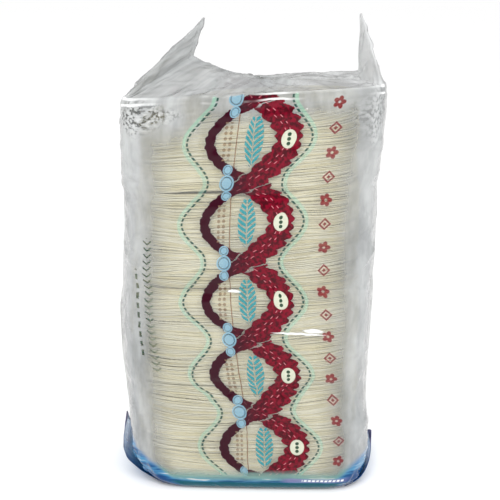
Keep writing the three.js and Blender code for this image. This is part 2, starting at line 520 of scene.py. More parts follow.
# %% Outline of the hanks
HANK_LEFT = np.array([84, 85, 84, 80]) * MM  # bottom hank first
HANK_RIGHT = np.array([84, 82, 79, 76]) * MM
HANK_DEPTH = 41.5 * MM
HANK_GAP = 0.2 * MM
SQUARENESS = 3.4  # 2 is an ellipse, larger is squarer
SLUMP, SLUMP_POWER = 11 * MM, 1.5  # how much lower the top hank lies at its left end
SLUMP_START, SLUMP_REACH = 20 * MM, 60 * MM  # from the middle to the left
FOOT_LEFT, FOOT_RIGHT = 0.8, 0.6  # how much of the bag's round bottom edges the lowest hank shares
TOP_ROOM = 8 * MM  # from the top hank up to the shoulder
LOOP_POINTS = 64
chance = np.random.default_rng(27)


def squarish(turn):
    """Unit directions round a squarish oval."""
    power = 2 / SQUARENESS
    x = np.sign(np.cos(turn)) * np.abs(np.cos(turn)) ** power
    y = np.sign(np.sin(turn)) * np.abs(np.sin(turn)) ** power
    return x, y


def even_loop(half_width, half_depth, count):
    """Unit directions round a squarish oval that come out evenly spaced at the given size."""
    x, y = squarish(np.linspace(0, 2 * math.pi, 4000))
    steps = np.hypot(np.diff(x * half_width), np.diff(y * half_depth))
    way = np.concatenate([[0], np.cumsum(steps)])
    wanted = np.arange(count) / count * way[-1]
    return np.interp(wanted, way, x), np.interp(wanted, way, y)


LOOP_X, LOOP_Y = even_loop(80 * MM, HANK_DEPTH, LOOP_POINTS)


def hank_levels(number):
    """Heights of a hank's underside and top."""
    low = HANK_EDGES[number] + HANK_GAP
    high = HANK_EDGES[number + 1] - HANK_GAP
    if number == TOP_HANK:
        high -= TOP_ROOM
    return low, high


def hank_point(number, share, inside, x_unit=LOOP_X, y_unit=LOOP_Y):
    """Points round a hank, at a share of its height from 0 to 1, `inside` its outline."""
    low, high = hank_levels(number)
    level = low + share * (high - low)
    floor_left = rounded_inset(BOTTOM_LEFT, np.maximum(level, 0)) * FOOT_LEFT
    floor_right = rounded_inset(BOTTOM_RIGHT, np.maximum(level, 0)) * FOOT_RIGHT
    left = HANK_LEFT[number] + belly_at(LEFT_BELLY, level) - floor_left
    half_x = np.where(x_unit < 0, left, HANK_RIGHT[number] - floor_right)
    x = x_unit * (half_x - inside)
    y = y_unit * (HANK_DEPTH - inside)
    slope = 1 + SHOULDER_SLOPE * x / SHOULDER_HEIGHT
    if number == TOP_HANK:
        to_left = np.clip((-x - SLUMP_START) / SLUMP_REACH, 0, 1)
        level = level - share * SLUMP * to_left**SLUMP_POWER
    return np.stack([x, y, level * slope], -1)


for number in range(len(HANK_HEIGHTS)):
    print("hank", number + 1, "from and to", np.round(np.array(hank_levels(number)) / MM, 1), "mm")

# %% Cores of the hanks
CORE_INSIDE = 1.7 * MM
CORE_SIDES = 96
# On a core of radius 1 and height 1:
CORE_BEVEL, BEVEL_STEPS = 0.06, 3
CORE_RINGS, RING_WIDTH = 3, 0.2
CORE_LOWEST, CORE_HIGHEST = 0.02, 0.98


def select_only(*objects):
    bpy.ops.object.select_all(action="DESELECT")
    for item in objects:
        item.select_set(True)
    bpy.context.view_layer.objects.active = objects[0]


def apply_modifiers(piece):
    select_only(piece)
    for modifier in list(piece.modifiers):
        bpy.ops.object.modifier_apply(modifier=modifier.name)


def settle(piece):
    """Moves a piece's place and size into its mesh."""
    select_only(piece)
    bpy.ops.object.transform_apply(location=True, rotation=True, scale=True)


def read_rows(items, key, width, kind=float):
    """What each item of a mesh keeps under that key, a row for each."""
    values = np.empty(width * len(items), kind)
    items.foreach_get(key, values)
    return values.reshape(-1, width)


def read_points(piece):
    return read_rows(piece.data.vertices, "co", 3)


def write_points(piece, points):
    piece.data.vertices.foreach_set("co", points.ravel())
    piece.data.update()


def store_numbers(piece, name, numbers):
    """Stores a number for each point of a piece, for its material to read."""
    attribute = piece.data.attributes.new(name, "FLOAT", "POINT")
    attribute.data.foreach_set("value", numbers.astype(np.float32))


def count_triangles(piece):
    return sum(len(polygon.vertices) - 2 for polygon in piece.data.polygons)


def hank_core(number, inside):
    """A solid with a hank's outline, `inside` it by that distance."""
    bpy.ops.object.select_all(action="DESELECT")
    bpy.ops.mesh.primitive_cylinder_add(vertices=CORE_SIDES, depth=1, location=(0, 0, 0.5))
    core = bpy.context.object
    core.name = f"hank_core_{number + 1}"
    settle(core)
    for polygon in core.data.polygons:
        polygon.select = abs(polygon.normal.z) > 0.9
    bpy.ops.object.mode_set(mode="EDIT")
    bpy.ops.mesh.bevel(offset=CORE_BEVEL, segments=BEVEL_STEPS, affect="EDGES")
    for _ in range(CORE_RINGS):
        bpy.ops.mesh.inset(thickness=RING_WIDTH)
    bpy.ops.object.mode_set(mode="OBJECT")
    points = read_points(core)
    reach = np.hypot(points[:, 0], points[:, 1])
    x_unit, y_unit = squarish(np.arctan2(points[:, 1], points[:, 0]))
    share = CORE_LOWEST + (CORE_HIGHEST - CORE_LOWEST) * np.clip(points[:, 2], 0, 1)
    write_points(core, hank_point(number, share, inside, reach * x_unit, reach * y_unit))
    bpy.ops.object.shade_smooth()
    return core


cores = [hank_core(number, CORE_INSIDE) for number in range(len(HANK_HEIGHTS))]
print("cores:", [count_triangles(core) for core in cores], "triangles")

# %% [markdown]
# Each strand is a closed loop round its hank: across the front, round the end, across the back and
# round the other end. Lines drawn on a smooth block would do from far away, but they have no round
# sides and no gaps, so the strands are real. Neighbours drift up and down together, each strand
# wanders a little on its own, and a few cross the others at a slant. A loop is a curve with a
# bevel, so that the strand keeps its true thickness.

# %% Strands of the hanks
STRAND_RADIUS = 0.47 * MM
STRAND_PITCH = 0.9 * MM
LAYER_STEP = 0.8 * MM
LAYERS = 3
LAYER_SLACK = 0.25 * MM  # how much deeper than its layer a strand may lie
EDGE_ROUND = (2.4 * MM, 4 * MM)
EDGE_GAP = 0.3 * MM  # from a strand to its hank's top or underside
DRIFT, BULGE = 1.1 * MM, 0.3 * MM  # shared by neighbours: up and down, in and out
WANDER, CAP_WANDER = 0.2 * MM, 0.4 * MM  # of one strand, at the sides and on top
CROSSING_SHARE, CROSSING_SLANT = 0.05, 5 * MM
END_SPREAD = 1.1 * MM  # how unevenly the turns at a hank's ends stand out
CAP_PITCH, CAP_SAG = 1.1 * MM, 1.2 * MM  # of the strands on top of a hank


def slow_wave(waves, size):
    """A smooth random wander that closes on itself round a loop."""
    turn = np.arange(LOOP_POINTS) * 2 * math.pi / LOOP_POINTS
    total = np.zeros(LOOP_POINTS)
    for wave in range(1, waves + 1):
        total += chance.normal() * np.sin(wave * turn + chance.uniform(0, 2 * math.pi)) / wave**0.6
    return size * total


class Flow:
    """A drift that neighbouring strands share: a few long waves across the hank."""

    def __init__(self, size, count=9):
        self.size = size / math.sqrt(count / 2)
        self.across = chance.uniform(15, 70, count) * chance.choice([-1, 1], count)
        self.up = chance.uniform(40, 240, count)
        self.phase = chance.uniform(0, 2 * math.pi, count)

    def __call__(self, x, level, side):
        waves = np.outer(x, self.across) + level * self.up + np.outer(side, 3 * self.phase)
        return self.size * np.sin(waves + self.phase).sum(-1)


def hank_strands(number):
    """Points of all the loops of a hank: the layers round its sides, then the strands on top."""
    low, high = hank_levels(number)
    height = high - low
    flow = Flow(DRIFT)
    bulge = Flow(BULGE)
    side = np.sign(LOOP_Y)
    x = LOOP_X * HANK_LEFT[number]
    loops = []
    for layer in range(LAYERS):
        for step in range(int(height / STRAND_PITCH)):
            level = (step + 0.5 + chance.uniform(-0.2, 0.2)) * STRAND_PITCH
            drift = flow(x, level, side) + slow_wave(6, WANDER)
            inside = layer * LAYER_STEP + chance.uniform(0, LAYER_SLACK)
            if chance.uniform() < CROSSING_SHARE:
                drift = drift + chance.uniform(-1, 1) * CROSSING_SLANT * LOOP_X * side
                inside = chance.uniform(0, LAYER_SLACK)
            level = np.clip(level + drift, EDGE_GAP, height - EDGE_GAP)
            inside = inside + rounded_inset(EDGE_ROUND, np.minimum(level, height - level))
            inside = inside + np.abs(bulge(x, level.mean(), side)) + np.abs(slow_wave(5, WANDER))
            ends = np.abs(LOOP_X) ** 6 * chance.normal() * END_SPREAD
            loops.append(hank_point(number, level / height, inside + ends))
    for inside in np.arange(EDGE_ROUND[0], HANK_DEPTH - 2 * MM, CAP_PITCH):
        level = height - chance.uniform(0, CAP_SAG) - np.abs(slow_wave(5, CAP_WANDER))
        loops.append(hank_point(number, level / height, inside + slow_wave(6, CAP_WANDER)))
    return loops


def curves_to_strands(name, loops, radius):
    """One mesh of strands along the loops. Each strand keeps a tone of its own."""
    curve = bpy.data.curves.new(name, "CURVE")
    curve.dimensions = "3D"
    for points in loops:
        spline = curve.splines.new("POLY")
        spline.points.add(len(points) - 1)
        spline.points.foreach_set("co", np.c_[points, np.ones(len(points))].ravel())
        spline.use_cyclic_u = True
    curve.bevel_depth = radius
    curve.bevel_resolution = 0
    piece = bpy.data.objects.new(name, curve)
    bpy.context.scene.collection.objects.link(piece)
    select_only(piece)
    bpy.ops.object.convert(target="MESH")
    piece = bpy.context.object
    bpy.ops.object.shade_smooth()
    tones = np.repeat(chance.uniform(0, 1, len(loops)), [4 * len(points) for points in loops])
    store_numbers(piece, "strand_tone", tones)
    return piece


strands = []
for number in range(len(HANK_HEIGHTS)):
    loops = hank_strands(number)
    piece = curves_to_strands(f"hank_strands_{number + 1}", loops, STRAND_RADIUS)
    strands.append(piece)
    print(piece.name, len(loops), "loops,", count_triangles(piece), "triangles")

# %% [markdown]
# ## The film
#
# The film could be a copy of the CAD solid's surface, but that has no sheet to print on. It is made
# as a bag maker makes it: a flat sheet, printed, rolled into a tube and closed at the bottom and
# the top. The flat sheet is a grid, and its UV map keeps the flat sizes in metres, so that the
# print follows the film wherever it folds.

# %% The film as a flat sheet, rolled and folded
SHEET_STEP = 3.0 * MM
UNDERSIDE = 44 * MM  # film under the pack, from the bottom edge to the middle
TENT_FILM = 50 * MM  # film above the shoulder, from the top fold to the edge of the seal
SEAL_START = 0.88  # share of the tent where its two sides are pressed together
SEAL_LAYER = 0.12 * MM
FLOOR_SHRINK = 0.8  # how short the line is on which the film meets under the pack
film_width = 2 * HALF_GIRTH
film_height = UNDERSIDE + SHOULDER_HEIGHT + TENT_FILM
columns = 2 * round(film_width / SHEET_STEP / 2)
rows = round(film_height / SHEET_STEP)

bpy.ops.object.select_all(action="DESELECT")
bpy.ops.mesh.primitive_grid_add(x_subdivisions=columns, y_subdivisions=rows, size=1)
film = bpy.context.object
film.name = "film_bag"
film.scale = (film_width, film_height, 1)
settle(film)

flat = read_points(film)
sheet_u = flat[:, 0]
sheet_v = flat[:, 1] + film_height / 2 - UNDERSIDE  # 0 at the bottom edge


def corner_vertices(piece):
    """The vertex at each corner of each face, in the order of the UV map."""
    return read_rows(piece.data.loops, "vertex_index", 1, int)[:, 0]


uv_map = film.data.uv_layers.active or film.data.uv_layers.new(name="film_sheet")
uv_map.data.foreach_set("uv", np.c_[sheet_u, sheet_v][corner_vertices(film)].ravel())


def bag_shape(u, v):
    """Where the flat sheet's points lie on the plain bag. u is 0 in the middle of the front."""
    girth = np.mod(u + HALF_GIRTH / 2, 2 * HALF_GIRTH)
    wall = wall_point(girth, np.clip(v, 0, SHOULDER_HEIGHT))
    up_tent = np.clip((v - SHOULDER_HEIGHT) / TENT_FILM, 0, 1)
    tent = tent_point(girth, up_tent)
    pressed = np.clip((SEAL_START - up_tent) / SEAL_START / np.maximum(1 - up_tent, TINY), 0, 1)
    open_side = np.where(up_tent < 1, SEAL_LAYER * np.sign(tent[:, 1]), 0)
    tent[:, 1] = tent[:, 1] * pressed + np.where(pressed == 0, open_side, 0)
    share = np.clip(-v / UNDERSIDE, 0, 1)
    under = wall_point(girth, np.zeros_like(v))
    under = mix(under, under * np.array([FLOOR_SHRINK, 0, 0]), share)
    return np.where((v < 0)[:, None], under, np.where((v > SHOULDER_HEIGHT)[:, None], tent, wall))


def weld(piece, threshold):
    """Merges doubled points and turns all faces outwards."""
    select_only(piece)
    bpy.ops.object.mode_set(mode="EDIT")
    bpy.ops.mesh.select_all(action="SELECT")
    bpy.ops.mesh.remove_doubles(threshold=threshold)
    bpy.ops.mesh.normals_make_consistent(inside=False)
    bpy.ops.object.mode_set(mode="OBJECT")


plain = bag_shape(sheet_u, sheet_v)
write_points(film, plain)
solid = BVHTree.FromObject(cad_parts["vermicelli_bag"], bpy.context.evaluated_depsgraph_get())
gaps = [solid.find_nearest(Vector(point))[3] for point in plain[::7]]
print("the plain film lies at most", round(max(gaps) / MM, 2), "mm from the solid's surface")
weld(film, 0.02 * MM)

# %% [markdown]
# The film is a little larger than what it holds, so it buckles. A cloth simulation finds how: the
# hanks are the hard form inside, the foot and the folds of the ears are held, and a slight vacuum
# draws the film in. The result is applied, with a limit on how far a point may move.

# %% The film drawn in over the hanks
PULL_FRAMES = 14
FURTHEST_MOVE = 1.8 * MM
CLEARANCE = 0.5 * MM  # from the film to the hard forms
FORM_OUTSIDE = 0.8 * MM  # how far the hard forms stand outside the hanks' outlines
SEARCH_REACH = 8 * MM
PUSH_BACKS, PUSH_SHARE = 5, 0.6  # tries, and what each one leaves of a move
HELD_FOOT = 9 * MM
HELD_FOLD = 7 * MM
HELD_SHOULDER = 3.2 * MM
FILM_STUFF = {
    "quality": 6,
    "mass": 0.0004,
    "tension_stiffness": 15,
    "compression_stiffness": 15,
    "shear_stiffness": 5,
    "bending_stiffness": 0.05,
    "bending_damping": 0.5,
    "vertex_group_mass": "held",
    "shrink_min": -0.03,
    "use_pressure": True,
    "uniform_pressure_force": -0.15,
}


def film_places():
    """Each film vertex's place on the flat sheet: how far round, and how far up."""
    places = np.empty((len(film.data.vertices), 2))
    places[corner_vertices(film)] = read_rows(film.data.uv_layers[0].data, "uv", 2)
    return places[:, 0], places[:, 1]


def from_side(u):
    """How far round the film it is from the middle of the nearer side."""
    girth = np.mod(u + HALF_GIRTH / 2, HALF_GIRTH)
    return np.minimum(girth, HALF_GIRTH - girth)


def is_held(u, v):
    """Where the simulation leaves the film: the foot, the top fold, the ears and the seal."""
    inward = from_side(u)
    up_tent = np.clip((v - SHOULDER_HEIGHT) / TENT_FILM, 0, 1)
    off_fold = np.abs(inward - FOLD * (1 - up_tent))
    in_ear = (up_tent > 0.05) & ((off_fold < HELD_FOLD) | (inward < FOLD + HELD_FOLD))
    at_shoulder = np.abs(v - SHOULDER_HEIGHT) < HELD_SHOULDER
    return (v < HELD_FOOT) | in_ear | at_shoulder | (up_tent > SEAL_START)


def hard_form(number):
    """A slightly larger copy of a hank's core that stops the film."""
    form = hank_core(number, -FORM_OUTSIDE)
    form.modifiers.new("hard", "COLLISION")
    form.collision.thickness_outer = CLEARANCE
    form.collision.cloth_friction = 4
    return form


def add_cloth(piece):
    cloth = piece.modifiers.new("cloth", "CLOTH")
    for name, value in FILM_STUFF.items():
        setattr(cloth.settings, name, value)
    cloth.settings.effector_weights.gravity = 0.1
    cloth.collision_settings.distance_min = CLEARANCE
    cloth.collision_settings.use_self_collision = False


def is_touching(point, hard):
    """Whether a point is inside one of the hard forms or nearer to it than the clearance."""
    for form in hard:
        place, normal, *_ = form.find_nearest(Vector(point), SEARCH_REACH)
        if place is not None and (Vector(point) - place).dot(normal) < CLEARANCE:
            return True
    return False


def push_back(before, moved, forms):
    """Shortens the moves that would leave the film on a hank."""
    depsgraph = bpy.context.evaluated_depsgraph_get()
    hard = [BVHTree.FromObject(form, depsgraph) for form in forms]
    for _ in range(PUSH_BACKS):
        too_near = [is_touching(point, hard) for point in before + moved]
        moved[too_near] *= PUSH_SHARE
    print(sum(too_near), "film points still touch a hank")


def draw_film_in():
    """Simulates the film, applies the result, and limits how far each point has moved."""
    pins = film.vertex_groups.new(name="held")
    pins.add(np.flatnonzero(is_held(*film_places())).tolist(), 1.0, "REPLACE")
    forms = [hard_form(number) for number in range(len(HANK_HEIGHTS))]
    add_cloth(film)
    before = read_points(film)
    for frame_number in range(1, PULL_FRAMES + 1):
        bpy.context.scene.frame_set(frame_number)
    apply_modifiers(film)
    bpy.context.scene.frame_set(1)
    moved = read_points(film) - before
    length = np.linalg.norm(moved, axis=1)
    print("film moved by", np.round(np.percentile(length, (50, 90, 100)) / MM, 1), "mm unlimited")
    moved *= (FURTHEST_MOVE * np.tanh(length / FURTHEST_MOVE) / np.maximum(length, TINY))[:, None]
    push_back(before, moved, forms)
    write_points(film, before + moved)
    select_only(*forms)
    bpy.ops.object.delete()
    film.vertex_groups.clear()


draw_film_in()

film.modifiers.new("smooth", "SUBSURF")
apply_modifiers(film)
bpy.ops.object.shade_smooth()
print("film", count_triangles(film), "triangles")

# %% [markdown]
# Cloth makes soft folds, but film also creases: where it is squeezed it folds along short straight
# ridges with flat facets beside them. A much finer simulation would find them, slowly. Here each
# crease is raised as a long narrow pyramid. There are many where the film hangs loose, along the
# upright edges, at the shoulder, in the tent and round the foot, and few shallow ones where it lies
# flat on the noodles.

# %% Creases in the film
crease_chance = np.random.default_rng(11)
TOP_FOLD, TOP_FOLD_WIDTH = 1.2 * MM, 1.6 * MM  # how far the fold along the shoulder stands out
SWELL_LEFT, SWELL_RIGHT = 3.6 * MM, 2 * MM
SWELL_DROP, SWELL_REACH, SWELL_WIDTH = 42 * MM, 36 * MM, 24 * MM
LEFT_EDGE = FOLD - HALF_GIRTH / 2  # places across the sheet of the two front upright edges
RIGHT_EDGE = -LEFT_EDGE
EMPTY_REACH, EMPTY_FADE = 115 * MM, 40 * MM  # round from the left side, over the slumped hank
EMPTY_DROP, EMPTY_RISE = 42 * MM, 26 * MM  # below the shoulder


def over_slump(u, v):
    """The empty film at the upper left, over the slumped end of the top hank."""
    from_left = np.abs(u + HALF_GIRTH / 2)
    from_left = np.minimum(from_left, 2 * HALF_GIRTH - from_left)
    beside = np.clip((EMPTY_REACH - from_left) / EMPTY_FADE, 0, 1)
    above = np.clip((v - SHOULDER_HEIGHT + EMPTY_DROP) / EMPTY_RISE, 0, 1)
    return beside * above * (v < SHOULDER_HEIGHT)


def painted_crumple_patches(u, v):
    """Where the painted shade and highlights of fine crumples go: beside the two upright edges,
    just under the shoulder's fold.
    """

    def patch(size, at, half_width, drop, half_height):
        beside = np.abs(u - at) / half_width
        below = np.abs(v - SHOULDER_HEIGHT + drop) / half_height
        return np.clip(size - beside - below, 0, 1)

    left = patch(1.7, LEFT_EDGE + 12 * MM, half_width=18 * MM, drop=12 * MM, half_height=9 * MM)
    right = patch(1.5, RIGHT_EDGE - 6 * MM, half_width=16 * MM, drop=18 * MM, half_height=18 * MM)
    return left + 0.5 * right


def swell(u, v):
    """Air under the film beside the top hank swells the two front edges out a little."""
    left = SWELL_LEFT * bell(u, LEFT_EDGE, SWELL_WIDTH)
    right = SWELL_RIGHT * bell(u, RIGHT_EDGE, SWELL_WIDTH)
    return (left + right) * bell(v, SHOULDER_HEIGHT - SWELL_DROP, SWELL_REACH, 4)


def looseness(u, v):
    """How freely the film can crease: 0 where it lies flat on the noodles, 1 where it is loose."""
    inward = from_side(u)
    edge = bell(inward, FOLD + 3 * MM, 18 * MM)
    side = 0.28 * (inward < FOLD)
    shoulder = 0.8 * bell(v, SHOULDER_HEIGHT - 5 * MM, 13 * MM)
    to_right = np.clip((np.abs(u - HALF_GIRTH / 4) - 20 * MM) / (30 * MM), 0, 1)
    tent = 0.8 * (v > SHOULDER_HEIGHT - 4 * MM) * (0.4 + 0.6 * to_right)
    foot = 0.5 * bell(v, 6 * MM, 12 * MM)
    least = np.full_like(u, 0.1)
    return np.maximum.reduce([edge, side, shoulder, over_slump(u, v), tent, foot, least])


def crease_heights(u, v, where, count, half_length, half_width, height, lean):
    """The sum of `count` creases. Lengths in mm as (least, most); lean is from level, in radians.

    `where` gives each place's chance of a crease, from 0 to 1, and the crease's share of `height`.
    """
    total = np.zeros_like(u)
    for _ in range(count):
        chance_here = 0
        while crease_chance.uniform() >= chance_here:
            at_u = crease_chance.uniform(-HALF_GIRTH, HALF_GIRTH)
            at_v = crease_chance.uniform(0, SHOULDER_HEIGHT + TENT_FILM)
            chance_here = where(np.array([at_u]), np.array([at_v]))[0]
        angle = crease_chance.normal(*lean) * crease_chance.choice([-1, 1])
        reach = crease_chance.uniform(*half_length) * MM
        width = crease_chance.uniform(*half_width) * MM
        rise = crease_chance.uniform(0.4, 1) * height * MM * chance_here
        away_u = np.mod(u - at_u + HALF_GIRTH, 2 * HALF_GIRTH) - HALF_GIRTH
        away_v = v - at_v
        near = np.flatnonzero((np.abs(away_u) < reach) & (np.abs(away_v) < reach))
        along = away_u[near] * math.cos(angle) + away_v[near] * math.sin(angle)
        beside = away_v[near] * math.cos(angle) - away_u[near] * math.sin(angle)
        left_over = 1 - np.abs(along) / reach
        slope = 1 - np.sqrt((beside / width) ** 2 + 0.01) / np.maximum(left_over, TINY)
        total[near] += rise * left_over * np.clip(slope, 0, None)
    return total


# Each set: where, how many, half length, half width, height, lean.
CREASE_SETS = (
    (looseness, 260, (14, 34), (3, 7), 1.8, (0.3, 0.5)),
    (looseness, 420, (7, 18), (2, 4), 1.2, (0.8, 0.6)),
    (looseness, 260, (14, 34), (1.6, 3.2), 1.1, (1.35, 0.2)),
    (over_slump, 60, (6, 16), (1.6, 3), 1.3, (0.6, 0.6)),
)
FOOT_FADE = 10 * MM  # how far up from the foot the creases start

film_u, film_v = film_places()
heights = sum(crease_heights(film_u, film_v, *creases) for creases in CREASE_SETS)
heights += TOP_FOLD * np.exp(-np.abs(film_v - SHOULDER_HEIGHT) / TOP_FOLD_WIDTH)
heights += swell(film_u, film_v)
heights *= np.clip(film_v / FOOT_FADE, 0, 1)
store_numbers(film, "loose", looseness(film_u, film_v))
store_numbers(film, "crumple_shading", painted_crumple_patches(film_u, film_v))
normals = read_rows(film.data.vertices, "normal", 3)
write_points(film, read_points(film) + normals * heights[:, None])
print("creases up to", round(float(heights.max()) / MM, 1), "mm high")

# %% [markdown]
# At the bottom the tube is folded shut like a parcel, and each side gets a triangular flap that is
# folded up against the pack. It could be folded out of the sheet, but a separate piece is simpler,
# and where the two join isn't seen. A flap is a grid drawn in to a point, laid on the bag's side
# wall and given the thickness of the doubled film. The left one bulges out above its heel, and the
# right one leans out at its tip.

# %% Flaps at the foot
FLAP_THICKNESS = 0.3 * MM
FLAP_STAND_OFF = 0.6 * MM
FLAP_GRID = {"x_subdivisions": 36, "y_subdivisions": 28}
FLAP_BOTTOM = 1.5 * MM
FLAP_TAPER = 0.8  # 1 is a straight sided triangle, less is rounder
FLAP_RIPPLE = 0.35 * MM  # two sets of shallow waves that cross
HEEL_START, HEEL_RISE = 5 * MM, 15 * MM


def foot_flap(name, side_girth, outwards, height, heel, lean):
    """A flap that stands off the wall by `heel` above the floor and by `lean` more at its tip."""
    bpy.ops.object.select_all(action="DESELECT")
    bpy.ops.mesh.primitive_grid_add(size=1, **FLAP_GRID)
    flap = bpy.context.object
    flap.name = name
    points = read_points(flap)
    up = points[:, 1] + 0.5
    girth = side_girth + points[:, 0] * 2 * HALF_DEPTH * (1 - up) ** FLAP_TAPER
    level = FLAP_BOTTOM + up * height
    place = wall_point(np.mod(girth, 2 * HALF_GIRTH), level)
    ripple = np.sin(girth * 260 + level * 170) + np.sin(girth * 610 - level * 330 + 1)
    bulge = heel * smooth((level - HEEL_START) / HEEL_RISE)
    stand = bulge + lean * up**2 + FLAP_RIPPLE * ripple * (1 - up)
    place[:, 0] += outwards * (FLAP_STAND_OFF + stand)
    write_points(flap, place)
    weld(flap, 0.05 * MM)
    wall = flap.modifiers.new("doubled film", "SOLIDIFY")
    wall.thickness = FLAP_THICKNESS
    wall.offset = 1
    apply_modifiers(flap)
    bpy.ops.object.shade_smooth()
    print(name, count_triangles(flap), "triangles")
    return flap


flaps = [
    foot_flap("foot_flap_left", 0, -1, height=43 * MM, heel=4.8 * MM, lean=-1.2 * MM),
    foot_flap("foot_flap_right", HALF_GIRTH, 1, height=28 * MM, heel=0, lean=3.4 * MM),
]

# %% [markdown]
# ## Finish of the noodles
#
# Dry mung bean noodles are glassy: pale cream, a little see-through, each strand a slightly
# different tone. Light that wanders about inside them would take long to work out for so many
# strands, so they mix a plain surface with a little light that passes through. They read their tone
# from the mesh. The cores show only in the gaps, as level lines of the same colours.

# %% Noodle finish
NOODLE_PALE, NOODLE_DEEP = srgb(247, 243, 221), srgb(236, 227, 188)
CORE_PALE, CORE_DEEP = srgb(250, 243, 220), srgb(238, 226, 192)
NOODLE_GLOW = srgb(255, 250, 232)
GLOW_SHARE = 0.12
LINE_SCALE = (12, 12, 900)  # long and level, and very thin


def noodle_finish():
    shader = Shader("dry_noodle")
    patches = shader.noise(shader.place(), 40, 3)
    tone = shader.stored("strand_tone") * 0.6 + patches * 0.5
    colour = shader.blend(tone.step(0.25, 0.85), NOODLE_PALE, NOODLE_DEEP)
    outside = shader.surface("Principled", {"Base Color": colour, "Roughness": 0.38})
    through = shader.surface("Translucent", {"Color": NOODLE_GLOW})
    return shader.finish(shader.mix(GLOW_SHARE, outside, through))


def core_finish():
    shader = Shader("noodle_core")
    sockets = {"Vector": shader.place(), "Scale": LINE_SCALE}
    lines = shader.noise(shader.node("ShaderNodeMapping", {}, sockets), 1, 3)
    colour = shader.blend(lines.step(0.35, 0.65), CORE_PALE, CORE_DEEP)
    return shader.finish(shader.surface("Principled", {"Base Color": colour, "Roughness": 0.6}))


noodle, inner = noodle_finish(), core_finish()
for piece in strands:
    piece.data.materials.append(noodle)
for piece in cores:
    piece.data.materials.append(inner)
print("noodle finish:", len(noodle.node_tree.nodes), "nodes, cores:", len(inner.node_tree.nodes))

# %% [markdown]
# ## The printed film
#
# The print is worked out from the film's flat sizes, in millimetres: `x` runs across from the
# middle of a printed column and `y` up from the bottom edge. Two crimson garlands twist round each
# other down the middle, with a leaf in each eye between them and a wavy border on both sides. Small
# ornaments run beside them. The foot of the bag and its underside are blue. A picture could be laid
# on the sheet, but sums stay sharp at any size and follow the sheet when its sizes change.

# %% Sizes and colours of the print
PRINT_REPEAT = 1000 * HALF_GIRTH  # the front and the back carry the same print
TWIST = 59.2  # from one crossing of the garlands to the next
FIRST_CROSSING = 8.0
GARLAND_REACH = 27.0
PRINT_TOP = 1000 * SHOULDER_HEIGHT - 1
COLUMN_PLACE, SWAY, SWAY_LENGTH = 1.5, 7, 360  # the printed column sways from side to side
FURTHEST_RIGHT = 30  # the height where it stands furthest right

CRIMSON, DEEP_CRIMSON, PLUM = srgb(112, 0, 28), srgb(62, 0, 12), srgb(46, 0, 18)
ROSE, IVORY = srgb(205, 120, 130), srgb(222, 226, 206)
TEAL, MINT = srgb(16, 128, 138), srgb(132, 192, 172)
BOTTLE_GREEN, PINE, BROWN = srgb(10, 66, 60), srgb(30, 62, 46), srgb(110, 76, 54)
PALE_BLUE, SLATE = srgb(124, 164, 184), srgb(50, 100, 128)
DEEP_TEAL, DEEP_BLUE = srgb(0, 74, 88), srgb(6, 58, 108)
DARK_SKY, SKY_BLUE = srgb(10, 68, 118), srgb(66, 132, 172)
PALE_TEAL, LILAC = srgb(108, 156, 152), srgb(124, 118, 166)
FOOT_BLUE = srgb(92, 138, 186)
# White of the printed ticks, and of the painted glints on the foot.
WHITE_INK_AND_GLINT = srgb(240, 244, 246)
print("the print repeats every", round(PRINT_REPEAT), "mm")

# %% [markdown]
# Inks are laid one over another, as on a press. `Print` keeps the colour on top and how much of it
# covers the film, so that each motif is a short function that lays a few masks.

# %% Laying inks


class Print:
    """Inks laid one over another: the colour on top and how much of it covers the film."""

    def __init__(self, shader, colour, cover, printed):
        self.printed = printed  # where the film carries print at all
        self.shader = shader
        self.colour = colour
        self.cover = cover

    def lay(self, mask, ink, strength):
        mask = mask * self.printed
        self.colour = self.shader.blend(mask, self.colour, ink)
        self.cover = self.cover * (1 - mask) + mask * strength


# %% [markdown]
# Clear film hides little where it lies flat on the noodles. Where it is loose it creases, catches
# the light and turns milky. The looseness that placed the creases is stored on the mesh, so that
# the clouding follows them. The milky grey carries painted sheen and shade, and painted light lifts
# the tent and the wall at the upper left. The painted shade and highlights of fine crumples, the
# painted highlights along the shoulder and those of a few creases on the front are smaller than the
# mesh's faces, so they are painted here.

# %% Clouding of the film, with painted light and shade
# The milky film's grey, from a painted shade to a painted glint.
FILM_SHADE, FILM_GLINT = srgb(128, 131, 132), srgb(180, 182, 182)
# Painted shade of crumples, and the white of painted highlights and of painted light.
PAINTED_CRUMPLE_SHADE, PAINTED_HIGHLIGHT_WHITE = srgb(66, 70, 72), srgb(250, 251, 252)
HAZE_ON_FRONT, MOST_COVER = 0.13, 0.95
# Painted highlights of creases on the front: place across and up, half length and half width, in
# mm.
CREASE_HIGHLIGHTS = ((38, 130, 22, 1.1), (48, 132, 9, 2), (-10, 163, 6, 1.4))
CREASE_SLOPE = 0.07


